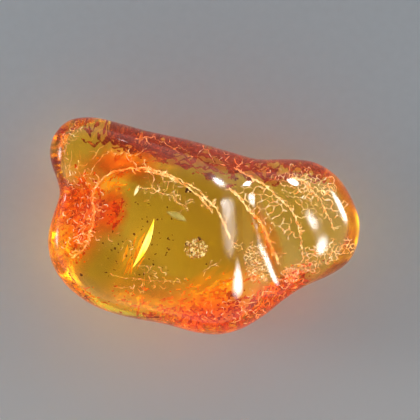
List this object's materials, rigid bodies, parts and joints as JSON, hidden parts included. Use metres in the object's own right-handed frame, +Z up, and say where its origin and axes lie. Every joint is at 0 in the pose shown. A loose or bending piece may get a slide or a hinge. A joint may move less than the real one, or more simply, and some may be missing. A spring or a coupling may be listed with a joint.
{
  "type": "tumbled amber",
  "caption": "Tumbled lump of clear golden amber with an orange crust and fine crazing, worn flat on its back so that it lies face up.",
  "frame": {"origin": "under the middle of the stone's bounding box, on the surface that it rests on", "axes": "+X along the stone from its horn to its nose, +Y across it towards the horned long side, +Z up out of the polished face"},
  "size_m": [0.038, 0.0266, 0.0139],
  "materials": {
    "amber": "clear golden fossil resin, tumble polished, with an orange crust",
    "crack_faces": "pale gold faces of the fine cracks in the resin",
    "plant_debris": "dark brown specks of plant matter sealed in the resin"
  },
  "bodies": {
    "root": {"amber": "amber"}
  },
  "joints": []
}
